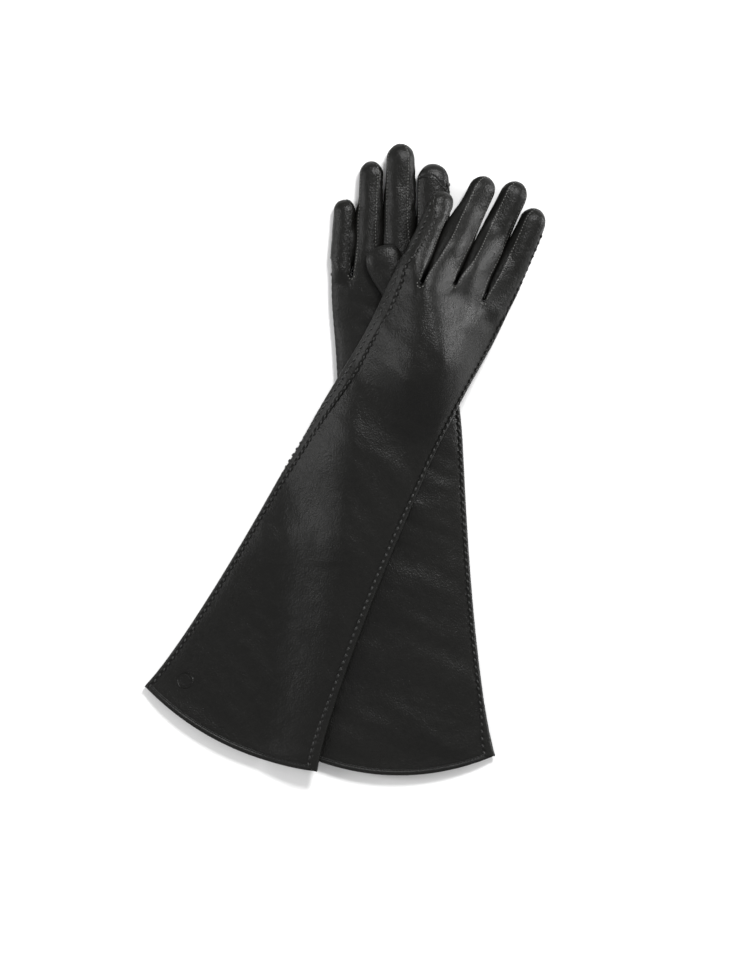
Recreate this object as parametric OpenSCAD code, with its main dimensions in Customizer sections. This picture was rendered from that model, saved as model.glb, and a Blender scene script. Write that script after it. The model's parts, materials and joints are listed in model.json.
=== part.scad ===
// A pair of long leather gloves with flared cuffs, laid flat and crossed.
// The right glove lies on the surface with its palm up. The left glove lies over it
// with its back up. Every piece is a thin closed sheet of leather, lining or binding.

/* [Hand and cuff] */
// Length from the hem's corners to the base of the fingers
hand_length = 362; // [350:1:375]
// Half the width of the hand
hand_half_width = 40; // [38:0.5:43]
// What the cuff's flare adds to the half width at the hem
flare = 28; // [20:1:32]
// Length over which the flare dies away
flare_length = 150; // [120:5:180]
// How far each hem bulges past its corners, left then right
hem_bulge = [12, 14]; // [4:1:16]
// Thickness of the stuffed hand, outside
hand_thickness = 15; // [14:0.5:17]
// How much flatter the cuff is at the hem
hem_flattening = 4.5; // [2:0.5:5]
// How far each hand is set over from its cuff's centre line, left then right
hand_offset = [4.5, -6.5]; // [-8:0.1:8]

/* [Fingers] */
// Left glove's finger crotches across: little-ring, ring-middle, middle-index
left_crotches = [-17.4, 4.7, 29]; // [-60:0.1:60]
// Right glove's finger crotches across, in the same order
right_crotches = [-35.5, -12.5, 11.5]; // [-60:0.1:60]
// Crotches along the glove, in the same order
crotch_along = [354, 366, 365]; // [350:1:370]
// Left fingertips along the glove: little, ring, middle, index
left_tip_along = [424, 448, 455, 443]; // [410:1:465]
// Left fingertips across the glove
left_tip_across = [-30.5, -8, 14.5, 35.5]; // [-60:0.5:60]
// Right fingertips along the glove
right_tip_along = [410, 438, 451, 436]; // [405:1:465]
// Right fingertips across the glove
right_tip_across = [-39.5, -20, 1.3, 24.7]; // [-60:0.1:60]
// Half widths of the left fingers
left_finger_half = [9.5, 10.5, 11, 10.5]; // [8:0.5:12]
// Half widths of the right fingers
right_finger_half = [8.8, 9.6, 11.4, 12.2]; // [8:0.1:13]
// Share of a finger's length at which it folds
fold_at = 0.5; // [0.45:0.01:0.55]

/* [Thumb] */
// Start and end of the thumb along the glove
thumb_along = [294, 375]; // [290:1:385]
// Start and end of the thumb across the hand, from its centre line
thumb_across = [20, -7.5]; // [-10:0.5:30]
// Half width of the thumb
thumb_half = 11.5; // [10:0.5:12]
// Half thickness of each thumb, left (pressed flat) then right
thumb_half_thickness = [4.5, 5.5]; // [4.5:0.5:6]

/* [Material] */
// Thickness of the leather
leather = 1.0; // [0.8:0.1:1.1]
// Thickness of the lining
lining = 0.5; // [0.4:0.1:0.6]
// Space left between pieces that touch
gap = 0.3; // [0.2:0.05:0.4]

/* [Lie] */
// Where the left glove's hem centre lies
left_origin = [-83.5, -197]; // [-250:0.5:250]
// Where the right glove's hem centre lies
right_origin = [40.5, -217]; // [-250:0.5:250]
// How far each glove is turned clockwise, left then right
turn = [26, 0]; // [-40:0.1:40]
// Width of the slope where the left glove comes down off the right one
drape = 40; // [34:1:46]

/* [Hidden] */
LEFT = 0;
RIGHT = 1;
LITTLE = 0;
RING = 1;
MIDDLE = 2;
INDEX = 3;
UPPER = 1;
LOWER = -1;
GLOVES = ["left", "right"];
FINGERS = ["little", "ring", "middle", "index"];
LEATHER_BLACK = [0.10, 0.10, 0.10];
LINING_BLACK = [0.16, 0.16, 0.17];
THREAD_BLACK = [0.05, 0.05, 0.05];

origin = [left_origin, right_origin];
crotch_across = [left_crotches, right_crotches];
tip_along = [left_tip_along, right_tip_along];
tip_across = [left_tip_across, right_tip_across];
finger_half = [left_finger_half, right_finger_half];

// How deep each layer lies under the leather's outer face.
lining_out = leather + gap;
lining_in = lining_out + lining;
// Half the clearance between the upper and the lower panel at a side seam.
seam_gap = 0.1;
// Angle up a finger's side at which the panel meets the fourchette.
seam_angle = 40;
// Angle left between a panel's edge and its fourchette's.
seam_slit = 3;
// Share of a finger's length over which the hand's shape turns into the finger's.
root_share = 0.15;
// Length before the crotches over which the hand's top gains the fingers' ridges.
knuckle_length = 30;
// Where the panels' columns begin to spread out to the fingers.
splay_start = 180;
// Shape of the hand's top across: how flat its middle is, and how round its sides are.
profile_flatness = 2.6;
profile_roundness = 0.6;
// The lower panel lies this much nearer to flat than the upper one.
lower_fullness = 1.12;
// The wrist, where the hand is drawn in a little.
wrist_at = 290;
wrist_length = 50;
wrist_narrowing = 1;
// The cuff, the extra kick of its hem, and where the hand is set over from it.
cuff_length = 250;
hem_kick = 2;
hem_kick_length = 15;
offset_start = 230;
offset_length = 110;
// What a finger loses from root to tip: a share of its width, and a length off half its depth.
finger_taper = 0.08;
finger_thinning = 1;
// Share of its width that the thumb loses towards both ends.
thumb_taper = 0.12;
// The thumb's round tip, and its longer round root where it is set into the palm.
thumb_tip_share = 0.16;
thumb_root_share = 0.2;
// Room kept between the two gloves.
lie_gap = 1.0;
// Where the hill under the left glove starts and ends along the right one, and its slopes.
hill_start = -45;
hill_start_slope = 35;
hill_end = 475;
hill_end_slope = 45;
hill_inside = 15;
// Slope around each thumb, where the glove above comes down off it.
thumb_slope = 34;
thumb_margin = 3;
// Size of the hem's binding and of the side seams' welt.
binding_width = 2.4;
binding_proud = 0.3;
welt_width = 1.9;
welt_half = 0.9;

// Shares of the hand's width at its edges and at the three crotches.
SLOT_SHARES = [0, 0.25, 0.5, 0.75, 1];
// The panels' grid: rows from the hem to the fingers, and columns across the hand.
HAND_ROWS = [0, 0.07, 0.15, 0.24, 0.33, 0.42, 0.51, 0.60, 0.68, 0.75, 0.82, 0.86, 0.90, 0.95, 1];
HAND_COLUMNS = [0, 0.02, 0.07, 0.15, 0.25, 0.33, 0.42, 0.5, 0.6, 0.7, 0.75, 0.85, 0.93, 0.98, 1];
// Each glove's panels are made in bands between these rows; the upper glove drapes, so it has more.
HAND_BANDS = [[[0, 4], [4, 7], [7, 9], [9, 11], [11, 13], [13, 14]], [[0, 4], [4, 7], [7, 9], [9, 14]]];
// The lower glove's bands are made in lanes too, between these columns, so that its edges stand apart.
HAND_LANES = [[[0, 14]], [[0, 2], [2, 12], [12, 14]]];
// Share of the hand's length left open between two bands, and of a column between two lanes.
hairline = 0.0004;
lane_hairline = 0.01;
// The window in the palm where the thumb is set in, as rows and columns of the panel's grid.
THUMB_HOLE = [[10, 8], [11, 8]];
// Share of a finger's length at which a piece round its tip ends.
tip_end = 0.996;
// The rows that follow the round of a fingertip.
TIP_ROWS = [0.8, 0.88, 0.94, 0.98, tip_end];
// Rows of a fourchette's wall from the fold to the root, as shares of the way to the fold.
FOURCHETTE_ROWS = [1, 0.8, 0.6, 0.4, 0.22, 0.1];
// The same for a finger that has no fold, as shares of its length below the tip's end.
WHOLE_FOURCHETTE_ROWS = [0.98, 0.94, 0.88, 0.8, 0.65, 0.5, 0.35, 0.2, 0.1, 0.05];
// Steps across a fourchette, from its upper edge to its lower one.
FOURCHETTE_STEPS = [-1, -0.35, 0.35, 1];
// Half a fourchette's angle round the finger at the crotch, and how far it reaches past it.
crotch_angle = 26;
crotch_reach = 0.2;
// Half the slit between two pieces that meet across a finger, as a share of its length.
slit = 0.003;
// Share of the index finger's length at which its touch patch starts.
patch_start = 0.78;
// The thumb's rows, and its columns: a ring that stops short of closing, at its seam.
THUMB_ROWS = [0.02, 0.06, 0.12, 0.25, 0.38, 0.55, 0.75, 0.86, 0.93, 0.98, 0.997];
THUMB_ANGLES = [for (a = [0:30:330]) a + 1, 359];
// Rows of the thumb's underside that stay open over the palm's window.
THUMB_OPEN_ROWS = [2, 3];
// A finger's lining hangs this much looser than the hand's.
slack = 0.45;
// Where a finger's lining starts and ends, and where the hand's lining ends.
finger_lining_start = 0.04;
finger_lining_end = 0.99;
hand_lining_end = 0.998;
// Angles of a finger's lining: a ring that stops short of closing, at its seam.
LINING_ANGLES = [for (a = [0:45:315]) a + 2, 358];

HAND_PARTS = ["back_panel", "palm_panel", "fourchette_index_middle", "fourchette_middle_ring",
    "fourchette_ring_little", "thumb", "thumb_lining", "lining", "hem_binding",
    "little_side_seam", "index_side_seam"];
TIP_PARTS = ["back", "palm", "fourchettes", "lining"];

// ---- Numbers ----

function clamp(t) = max(0, min(1, t));
function smooth(t) = let (c = clamp(t)) c * c * (3 - 2 * c);
function mix(a, b, t) = a + (b - a) * t;
function last(list) = list[len(list) - 1];
function flat(lists) = [for (l = lists) for (x = l) x];

// The value at t of a line through the points xs, ys.
function along_line(t, xs, ys) =
    t <= xs[0] ? ys[0]
    : t >= last(xs) ? last(ys)
    : let (k = [for (i = [0:len(xs) - 2]) if (t >= xs[i] && t <= xs[i + 1]) i][0])
        mix(ys[k], ys[k + 1], (t - xs[k]) / (xs[k + 1] - xs[k]));

// ---- The shape of one glove lying flat: u along it, v across it, w up ----

function half_width(u) =
    hand_half_width + flare * exp(-max(u, 0) / flare_length) + hem_kick * exp(-max(u, 0) / hem_kick_length)
    - wrist_narrowing * exp(-pow((u - wrist_at) / wrist_length, 2));
function thickness(u) = hand_thickness - hem_flattening * (1 - smooth(u / cuff_length));
function centre(g, u) = hand_offset[g] * smooth((u - offset_start) / offset_length);

// Across the base of the fingers: the glove's edge, three crotches, the other edge.
function slots(g) = let (c = centre(g, hand_length), h = half_width(hand_length))
    [c - h, crotch_across[g][0], crotch_across[g][1], crotch_across[g][2], c + h];
function hem_at(g, c) = -hem_bulge[g] * (1 - pow(2 * c - 1, 2));
function base_at(c) = along_line(c, SLOT_SHARES,
    [hand_length, crotch_along[0], crotch_along[1], crotch_along[2], hand_length]);

// Height of the top across the hand, from 0 at a side seam to 1 in the middle.
function hand_profile(q) = pow(max(0, 1 - pow(abs(q), profile_flatness)), profile_roundness);
// The same across the roots of the fingers, where c runs from 0 to 1 over all four.
function root_profile(c) =
    let (k = min(3, floor(c * 4)), x = 2 * (c * 4 - k) - 1,
        open_side = (k == LITTLE && x < 0) || (k == INDEX && x > 0))
    sqrt(max(0, 1 - pow(open_side ? x : x * cos(seam_angle), 2)));

// A point of the hand or cuff. c is the share of the way from the little finger's side seam
// to the index finger's, and depth the distance in from the leather's outer face.
function hand_point(g, side, u, c, depth) =
    let (h = half_width(u), t = thickness(u) / 2,
        across = mix(2 * c - 1, (along_line(c, SLOT_SHARES, slots(g)) - centre(g, hand_length))
            / half_width(hand_length), smooth((u - splay_start) / (hand_length - splay_start))),
        rise = mix(hand_profile(across), root_profile(c),
            smooth((u - base_at(c) + knuckle_length) / knuckle_length)),
        p = side == UPPER ? rise : min(1, lower_fullness * rise))
    [u, centre(g, u) + across * (h - depth), t + side * (seam_gap + (t - depth - seam_gap) * p)];

function hand_row_u(g, r, c) = mix(hem_at(g, c), base_at(c) - gap / 2, r);

// ---- Fingers ----

function finger_root(g, i) = let (s = slots(g))
    [[base_at(i / 4), s[i]], [base_at((i + 1) / 4), s[i + 1]]];
function finger_tip(g, i) = [tip_along[g][i], tip_across[g][i]];
function finger_start(g, i) = let (r = finger_root(g, i)) (r[0] + r[1]) / 2;
function finger_length(g, i) = norm(finger_tip(g, i) - finger_start(g, i));
function finger_way(g, i) = (finger_tip(g, i) - finger_start(g, i)) / finger_length(g, i);
// 1 along the finger, falling to nothing over the round of its tip.
function round_off(s, share) = sqrt(max(0, 1 - pow(max(0, s - 1 + share) / share, 2)));

// A point of a finger. s runs from its root to its tip, and phi round it from the index side.
function finger_point(g, i, s, phi, depth) =
    let (l = finger_length(g, i), way = finger_way(g, i), side = [-way[1], way[0]],
        root = finger_root(g, i), full = finger_half[g][i],
        reach = s * (l - depth) / l,
        tip = round_off(s, full / l),
        half = (full * (1 - finger_taper * s) - depth) * tip,
        b = hand_thickness / 2 - finger_thinning * s,
        x = cos(phi),
        open_side = (i == LITTLE && x < 0) || (i == INDEX && x > 0),
        spread = open_side ? x : max(-1, min(1, x / cos(seam_angle))),
        root_width = norm(root[1] - root[0]) / 2,
        at_root = (root[0] + root[1]) / 2 + (root[1] - root[0]) / 2 * spread * (1 - depth / root_width),
        turn_in = smooth(s / root_share),
        p = way * reach * l + mix(at_root, finger_start(g, i) + side * half * x, turn_in))
    [p[0], p[1], b + (b - depth) * tip * sin(phi)];

// ---- Thumb ----

function thumb_start(g) = [thumb_along[0], thumb_across[0] + hand_offset[g]];
thumb_run = [thumb_along[1] - thumb_along[0], thumb_across[1] - thumb_across[0]];
thumb_length = norm(thumb_run);
thumb_way = thumb_run / thumb_length;
// The right glove's palm is up, so its thumb lies on top. The left one's lies underneath.
function thumb_centre(g) =
    g == RIGHT ? hand_thickness + gap + thumb_half_thickness[g] : -2 * gap - thumb_half_thickness[g];
function thumb_point(g, s, phi, depth) =
    let (b = thumb_half_thickness[g],
        ends = round_off(s, thumb_tip_share) * round_off(1 - s, thumb_root_share),
        swell = 1 - thumb_taper * pow(2 * s - 1, 2),
        l = mix(depth, thumb_length - depth, s),
        p = thumb_start(g) + thumb_way * l + [-thumb_way[1], thumb_way[0]]
            * (thumb_half - depth) * swell * ends * cos(phi))
    [p[0], p[1], thumb_centre(g) + (b - depth) * ends * sin(phi)];

// ---- How the gloves lie: each is turned on the surface, and the left one drapes ----

function lay(g, u, v) = let (a = turn[g])
    origin[g] + [u * sin(a) + v * cos(a), u * cos(a) - v * sin(a)];
function unlay(g, p) = let (a = turn[g], d = p - origin[g])
    [d[0] * sin(a) + d[1] * cos(a), d[0] * cos(a) - d[1] * sin(a)];
// 1 over the thumb's footprint, falling to 0 around it.
function thumb_hill(g, q) =
    let (d = q - thumb_start(g), t = clamp((d * thumb_way) / thumb_length),
        far = norm(d - thumb_way * thumb_length * t))
    smooth((thumb_half + thumb_margin + thumb_slope - far) / thumb_slope);
// Height of the soft hill that the right glove makes.
function under_left(p) =
    let (q = unlay(RIGHT, p),
        inside = half_width(q[0]) - abs(q[1] - centre(RIGHT, min(q[0], hand_length))),
        hill = smooth((inside + drape) / (drape + hill_inside))
            * smooth((hill_end - q[0]) / hill_end_slope)
            * smooth((q[0] - hill_start) / hill_start_slope))
    (thickness(q[0]) + lie_gap) * hill + (2 * thumb_half_thickness[RIGHT] + gap) * thumb_hill(RIGHT, q);
// Height of the left glove's underside, lifted off its own thumb too.
function lift(g, p) =
    g == RIGHT ? 0
    : under_left(p) + (2 * thumb_half_thickness[LEFT] + 3 * gap) * thumb_hill(LEFT, unlay(LEFT, p));
function place(g, q) = let (p = lay(g, q[0], q[1])) [p[0], p[1], q[2] + lift(g, p)];

// ---- Sheets: a grid of outer points and one of inner points make a closed solid ----

// 1 if the outer grid's faces already look away from the inner grid.
function looks_out(outer, inner) =
    let (r = floor((len(outer) - 1) / 2), c = floor((len(outer[0]) - 1) / 2),
        n = cross(outer[r + 1][c] - outer[r][c], outer[r][c + 1] - outer[r][c]))
    n * (outer[r][c] - inner[r][c]) < 0;
function quad(a, b, c, d, turned) = turned ? [[a, c, b], [a, d, c]] : [[a, b, c], [a, c, d]];

function sheet(outer, inner, holes = []) =
    let (rows = len(outer), cols = len(outer[0]), n = rows * cols, turned = looks_out(outer, inner),
        kept = [for (r = [-1:rows - 1]) [for (c = [-1:cols - 1])
            r >= 0 && c >= 0 && r < rows - 1 && c < cols - 1
            && len([for (x = holes) if (x == [r, c]) x]) == 0]],
        faces = flat([for (r = [0:rows - 2], c = [0:cols - 2]) if (kept[r + 1][c + 1])
            let (a = r * cols + c, b = a + 1, d = a + cols, e = d + 1) concat(
                quad(a, b, e, d, turned),
                quad(n + a, n + d, n + e, n + b, turned),
                kept[r][c + 1] ? [] : quad(a, n + a, n + b, b, turned),
                kept[r + 2][c + 1] ? [] : quad(d, e, n + e, n + d, turned),
                kept[r + 1][c] ? [] : quad(a, d, n + d, n + a, turned),
                kept[r + 1][c + 2] ? [] : quad(b, n + b, n + e, e, turned))]))
    [flat(concat(outer, inner)), faces];

// Several sheets as one list of points and faces.
function joined(sheets, k = 0, before = 0) =
    k == len(sheets) ? [[], []]
    : let (rest = joined(sheets, k + 1, before + len(sheets[k][0])))
        [concat(sheets[k][0], rest[0]),
         concat([for (f = sheets[k][1]) [f[0] + before, f[1] + before, f[2] + before]], rest[1])];

module leather_piece(sheets, tint = LEATHER_BLACK) {
    mesh = joined(sheets);
    color(tint) polyhedron(points = mesh[0], faces = mesh[1], convexity = 10);
}

// ---- Pieces ----

function reversed(list) = [for (k = [len(list) - 1:-1:0]) list[k]];
function hand_columns(side) = side == UPPER ? HAND_COLUMNS : reversed(HAND_COLUMNS);
function hand_row(g, side, r, depth, columns) =
    [for (c = columns) place(g, hand_point(g, side, hand_row_u(g, r, c), c, depth))];
// The thumb's window as a panel's columns count it, which run back on the lower side.
function thumb_hole(g, before = 0) = [for (x = THUMB_HOLE)
    [x[0], palm_side(g) == UPPER ? x[1] : before + len(HAND_COLUMNS) - 2 - x[1]]];

// The rows from s0 to s1 along a finger, closer together where the tip rounds off.
function finger_rows(s0, s1) =
    s1 > TIP_ROWS[0] ? concat([for (t = [0, 0.33, 0.67]) mix(s0, TIP_ROWS[0], t)], TIP_ROWS)
    : [for (t = [0, 0.25, 0.6, 1]) mix(s0, s1, t)];
function finger_strip(g, i, s0, s1, angles, outside = 0, inside = leather) =
    let (rows = finger_rows(s0, s1))
    sheet([for (s = rows) [for (a = angles) place(g, finger_point(g, i, s, a, outside))]],
          [for (s = rows) [for (a = angles) place(g, finger_point(g, i, s, a, inside))]]);

// Angles of a finger's upper strip. A finger at the edge of the hand runs to the side seam.
function strip_angles(i, side) =
    let (a0 = i == INDEX ? 1 : seam_angle, a1 = i == LITTLE ? 179 : 180 - seam_angle)
    [for (t = [0, 0.25, 0.5, 0.75, 1]) side == UPPER ? mix(a0, a1, t) : mix(-a1, -a0, t)];
// The right index finger is held under the left hand, so it has no fold.
function folds(g, i) = g == LEFT || i != INDEX;
function fold(g, i) = folds(g, i) ? fold_at : tip_end;

// One lane of a panel's band, between two of its rows and two of its columns.
function band(g, side, b, lane, holes) =
    let (rows = [for (k = [b[0]:b[1]]) HAND_ROWS[k] + (k > 0 && k == b[0] ? hairline : 0)],
         all = hand_columns(side),
         columns = [for (k = [lane[0]:lane[1]])
             k > 0 && k == lane[0] ? mix(all[k], all[k + 1], lane_hairline) : all[k]])
    sheet([for (r = rows) hand_row(g, side, r, 0, columns)],
          [for (r = rows) hand_row(g, side, r, leather, columns)],
          [for (x = holes) [x[0] - b[0], x[1] - lane[0]]]);
module panel(g, side, holes = []) {
    leather_piece(concat(
        [for (b = HAND_BANDS[g], lane = HAND_LANES[g]) band(g, side, b, lane, holes)],
        [for (i = [LITTLE:INDEX]) finger_strip(g, i, slit, last_row(g, i, side), strip_angles(i, side))]));
}
// Where a finger's part of the panel ends: at the fold, or at the touch patch on a whole finger.
function last_row(g, i, side) =
    folds(g, i) ? fold_at - slit : (side == palm_side(g) ? patch_start - slit : tip_end);
function palm_side(g) = g == RIGHT ? UPPER : LOWER;

// The fourchette between finger i and the next: down one finger's side, round the crotch
// and up the other's.
module fourchette(g, i) {
    function reach(j) = fold(g, j) - slit;
    function wall_rows(j) = folds(g, j) ? [for (t = FOURCHETTE_ROWS) t * reach(j)]
        : concat([reach(j)], WHOLE_FOURCHETTE_ROWS);
    function span(s) = mix(crotch_angle, seam_angle - seam_slit, smooth(s / root_share));
    function around(facing, s, t) = facing + (facing == 0 ? -1 : 1) * t * span(s);
    function wall(j, s, facing, depth) =
        [for (t = FOURCHETTE_STEPS) place(g, finger_point(g, j, s, around(facing, s, t), depth))];
    function crotch(depth) = let (p = finger_root(g, i)[1], b = hand_thickness / 2)
        [for (t = FOURCHETTE_STEPS) place(g, [p[0] - depth + crotch_reach, p[1], b - b * sin(t * span(0))])];
    function rows(depth) = concat(
        [for (s = wall_rows(i)) wall(i, s, 0, depth)],
        [crotch(depth)],
        [for (s = reversed(wall_rows(i + 1))) wall(i + 1, s, 180, depth)]);
    leather_piece([sheet(rows(0), rows(leather))]);
}
module thumb(g, tint, outside, inside) {
    // The side against the palm is open over the palm's window.
    open_columns = g == RIGHT ? [8, 9] : [2, 3];
    leather_piece([sheet(
        [for (s = THUMB_ROWS) [for (a = THUMB_ANGLES) place(g, thumb_point(g, s, a, outside))]],
        [for (s = THUMB_ROWS) [for (a = THUMB_ANGLES) place(g, thumb_point(g, s, a, inside))]],
        [for (r = THUMB_OPEN_ROWS, c = open_columns) [r, c]])], tint);
}

// Once round the hand, from the little finger's seam and back to it.
function lining_ring(g, r, depth) = let (q = min(r, hand_lining_end))
    flat([for (side = [UPPER, LOWER]) hand_row(g, side, q, depth, hand_columns(side))]);
function finger_lining(g, i, s0, s1) =
    finger_strip(g, i, s0, s1, LINING_ANGLES, lining_out + slack, lining_in + slack);

module hand_lining(g) {
    leather_piece(concat(
        [sheet([for (r = HAND_ROWS) lining_ring(g, r, lining_out)],
               [for (r = HAND_ROWS) lining_ring(g, r, lining_in)], thumb_hole(g, len(HAND_COLUMNS)))],
        [for (i = [LITTLE:INDEX])
            finger_lining(g, i, finger_lining_start, folds(g, i) ? fold_at - slit : finger_lining_end)]),
        LINING_BLACK);
}

// The binding rolled round the hem, from one end of its strip to the other.
module hem_binding(g) {
    function edge(side, c, depth) = [for (d = [binding_width, 0])
        let (q = hand_point(g, side, hem_at(g, c) - gap - d, c, depth)) place(g, [q[0], q[1], max(0, q[2])])];
    function ring(depth) = concat(
        [for (c = HAND_COLUMNS) edge(UPPER, c, depth)],
        [for (c = reversed(HAND_COLUMNS)) if (c < 1) edge(LOWER, c, depth)]);
    leather_piece([sheet(ring(-binding_proud), ring(lining_in))]);
}

// The welt of a side seam, outside the panels' edges, up to the finger's fold.
module side_seam(g, i) {
    out = i == LITTLE ? -1 : 1;
    function along_hand(u) = [u, centre(g, u) + out * half_width(u), thickness(u) / 2];
    function along_finger(s) = finger_point(g, i, s, out > 0 ? 0 : 180, 0);
    path = concat(
        [for (r = HAND_ROWS) if (r < 1) along_hand(mix(0, hand_length, r))],
        [for (s = finger_rows(slit, fold(g, i) - slit)) if (s < TIP_ROWS[2]) along_finger(s)]);
    function bar(height) = [for (p = path) [for (d = [gap, gap + welt_width])
        place(g, p + [0, out * d, height])]];
    leather_piece([sheet(bar(welt_half), bar(-welt_half))], THREAD_BLACK);
}

// The cap of conductive leather on the palm side of the index fingertip.
module touch_patch(g) {
    leather_piece([finger_strip(g, INDEX, patch_start + slit, tip_end, strip_angles(INDEX, palm_side(g)))]);
}

// ---- The far half of a finger, past its fold ----

module tip_panel(g, i, side) {
    end = i == INDEX && side == palm_side(g) ? patch_start - slit : tip_end;
    leather_piece([finger_strip(g, i, fold_at + slit, end, strip_angles(i, side))]);
}
module tip_fourchettes(g, i) {
    reach = seam_angle - seam_slit;
    function wall(facing) =
        finger_strip(g, i, fold_at + slit, tip_end, [for (t = [-1, 0, 1]) facing + t * reach]);
    leather_piece(concat(i == INDEX ? [] : [wall(0)], i == LITTLE ? [] : [wall(180)]));
}
module tip_lining(g, i) {
    leather_piece([finger_lining(g, i, fold_at + slit, finger_lining_end)], LINING_BLACK);
}

// ---- Nodes ----

for (g = [LEFT, RIGHT]) {
    glove = GLOVES[g];
    // The left glove's back is up and the right glove's palm is up.
    palm = palm_side(g);
    panel(g, -palm);
    panel(g, palm, thumb_hole(g));
    fourchette(g, LITTLE);
    fourchette(g, RING);
    fourchette(g, MIDDLE);
    thumb(g, LEATHER_BLACK, 0, leather);
    thumb(g, LINING_BLACK, lining_out, lining_in);
    hand_lining(g);
    hem_binding(g);
    side_seam(g, LITTLE);
    side_seam(g, INDEX);
    touch_patch(g);
    for (i = [LITTLE:g == LEFT ? INDEX : MIDDLE]) {
        tip = str(glove, "_", FINGERS[i], "_tip_");
        tip_panel(g, i, -palm);
        tip_panel(g, i, palm);
        tip_fourchettes(g, i);
        tip_lining(g, i);
    }
}
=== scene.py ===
"""A pair of long black leather gloves, lying flat and crossed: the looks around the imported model.

The gloves' shapes are worked out in millimetres by the same rules as the CAD model's, at a
finer pitch, and turned into metres when a mesh is made. On each glove u runs from the hem to
the fingertips, v across it towards the index finger, and w up from the surface.
"""
import json
import math

import bpy
import numpy as np
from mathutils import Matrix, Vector, noise

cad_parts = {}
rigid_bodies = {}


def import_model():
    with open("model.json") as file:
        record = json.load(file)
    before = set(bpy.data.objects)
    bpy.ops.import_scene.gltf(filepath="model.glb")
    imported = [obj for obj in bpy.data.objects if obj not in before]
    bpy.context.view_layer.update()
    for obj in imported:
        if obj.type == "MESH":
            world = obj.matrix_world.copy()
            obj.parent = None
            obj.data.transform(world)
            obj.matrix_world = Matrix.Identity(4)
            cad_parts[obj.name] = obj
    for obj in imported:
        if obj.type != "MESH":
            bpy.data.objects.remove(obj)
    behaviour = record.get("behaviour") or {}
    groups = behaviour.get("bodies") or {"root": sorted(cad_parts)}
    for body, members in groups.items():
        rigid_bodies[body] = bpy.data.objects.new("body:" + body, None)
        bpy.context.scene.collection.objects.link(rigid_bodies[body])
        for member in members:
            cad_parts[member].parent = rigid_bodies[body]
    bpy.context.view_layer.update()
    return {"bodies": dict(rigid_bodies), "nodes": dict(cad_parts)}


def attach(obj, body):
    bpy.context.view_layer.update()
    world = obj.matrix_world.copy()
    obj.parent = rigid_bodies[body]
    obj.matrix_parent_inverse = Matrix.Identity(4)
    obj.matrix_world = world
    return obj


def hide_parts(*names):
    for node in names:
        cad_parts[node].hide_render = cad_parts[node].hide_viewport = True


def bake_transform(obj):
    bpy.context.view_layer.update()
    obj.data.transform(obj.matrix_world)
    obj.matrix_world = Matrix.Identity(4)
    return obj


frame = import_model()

MM = 0.001

# ---- Camera: straight down, as seen from well above ----

VIEW_CENTRE = (0.0148, -0.0185)
VIEW_HEIGHT = 0.7193
CAMERA_DISTANCE = 3.0
SENSOR = 36.0

camera_data = bpy.data.cameras.new("camera")
camera_data.sensor_width = SENSOR
camera_data.lens = SENSOR * CAMERA_DISTANCE / VIEW_HEIGHT
camera = bpy.data.objects.new("camera", camera_data)
camera.location = (VIEW_CENTRE[0], VIEW_CENTRE[1], CAMERA_DISTANCE)
bpy.context.scene.collection.objects.link(camera)
bpy.context.scene.camera = camera

# ---- Sizes of the gloves, as in the CAD model (mm) ----

LEFT, RIGHT = 0, 1
LITTLE, RING, MIDDLE, INDEX = range(4)
UPPER, LOWER = 1, -1
GLOVES = ["left", "right"]
GLOVE_BODIES = ["left_glove", "right_glove"]
FINGERS = ["little", "ring", "middle", "index"]

HAND_LENGTH = 362
HAND_HALF_WIDTH = 40
FLARE, FLARE_LENGTH = 28, 150
HEM_KICK, HEM_KICK_LENGTH = 2, 15
HEM_BULGE = [12, 14]
HAND_THICKNESS = 15
HEM_FLATTENING, CUFF_LENGTH = 4.5, 250
HAND_OFFSET, OFFSET_START, OFFSET_LENGTH = [4.5, -6.5], 230, 110
CROTCH_ACROSS = [[-17.4, 4.7, 29], [-35.5, -12.5, 11.5]]
CROTCH_ALONG = [354, 366, 365]
TIP_ALONG = [[424, 448, 455, 443], [410, 438, 451, 436]]
TIP_ACROSS = [[-30.5, -8, 14.5, 35.5], [-39.5, -20, 1.3, 24.7]]
FINGER_HALF = [[9.5, 10.5, 11, 10.5], [8.7, 9.6, 11.4, 12.2]]
FOLD_AT = 0.5
THUMB_ALONG, THUMB_ACROSS = [294, 375], [20, -7.5]
THUMB_HALF, THUMB_HALF_THICKNESS = 11.5, [4.5, 5.5]
THUMB_ROOT_SHARE, THUMB_TIP_SHARE = 0.2, 0.16
LEATHER, LINING, GAP, SEAM_GAP = 1.0, 0.5, 0.3, 0.1
ORIGIN = [(-83.5, -197), (40.5, -217)]
TURN = [math.radians(26), 0.0]
DRAPE, LIE_GAP, THUMB_SLOPE, THUMB_MARGIN = 40, 1.0, 34, 3
KNUCKLE_LENGTH, ROOT_SHARE = 13, 0.22
KNUCKLE_SWELL, KNUCKLE_SWELL_START, KNUCKLE_SWELL_LENGTH = 1.4, 300, 50
WRIST_DRAW, WRIST_AT, WRIST_LENGTH = 1.0, 290, 50
FINGER_TAPER = 0.06
# The lower side of a glove is a little fuller than its upper side.
LOWER_FULLNESS = 1.12
# How the upper glove's lift rises past the lower glove's edge, fingertips and hem (mm).
EDGE_OVERLAP, TIPS_END, TIPS_SLOPE, HEM_START, HEM_SLOPE = 15, 475, 45, -45, 35
SEAM_ANGLE = math.radians(40)

# ---- Sizes that only the looks have (mm) ----

# How far the fingers' seams are rolled round, so that one row shows from above.
SEAM_ROLL = [math.radians(16), math.radians(-14)]
# How much of its root's half width a finger takes up beside a crotch.
SLOT_SHARE = 0.86
# Columns across the round end of the slot between two fingers, and how far it reaches into the hand.
SLOT_COLUMNS = [-0.9, -0.55, 0.0, 0.55, 0.9]
SLOT_REACH = 2.0
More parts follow.
